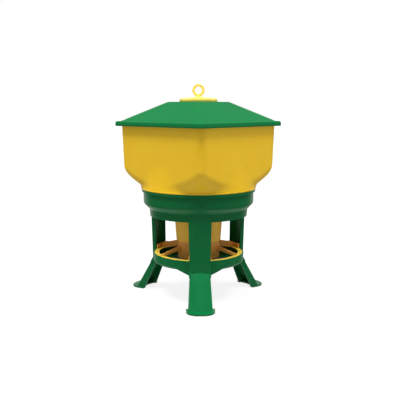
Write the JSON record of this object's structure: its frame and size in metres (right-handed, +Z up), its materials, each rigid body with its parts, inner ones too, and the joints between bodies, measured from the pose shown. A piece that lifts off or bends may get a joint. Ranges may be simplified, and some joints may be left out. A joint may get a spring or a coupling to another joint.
{
  "type": "standing poultry feeder",
  "caption": "Standing poultry feeder: a square hopper with a peaked lid in a round collar, on a stand with a grilled feed tray and splayed legs.",
  "frame": {"origin": "on the feeder's vertical axis, at floor level under the feet", "axes": "+Z up; -Y towards the front leg and the hopper's front corner; +X to the right as seen from the front"},
  "size_m": [0.5448, 0.5448, 0.7],
  "materials": {
    "yellow_plastic": "satin moulded polypropylene",
    "green_lid_plastic": "satin moulded polypropylene",
    "pale_yellow_plastic": "smooth, slightly translucent",
    "green_plastic": "satin moulded polypropylene"
  },
  "bodies": {
    "root": {"hopper": "yellow_plastic", "lid": "green_lid_plastic", "lid_cap": "pale_yellow_plastic", "feed_tube": "yellow_plastic", "grille": "yellow_plastic", "stand": "green_plastic", "leg_front": "green_plastic", "leg_right": "green_plastic", "leg_left": "green_plastic"}
  },
  "joints": []
}
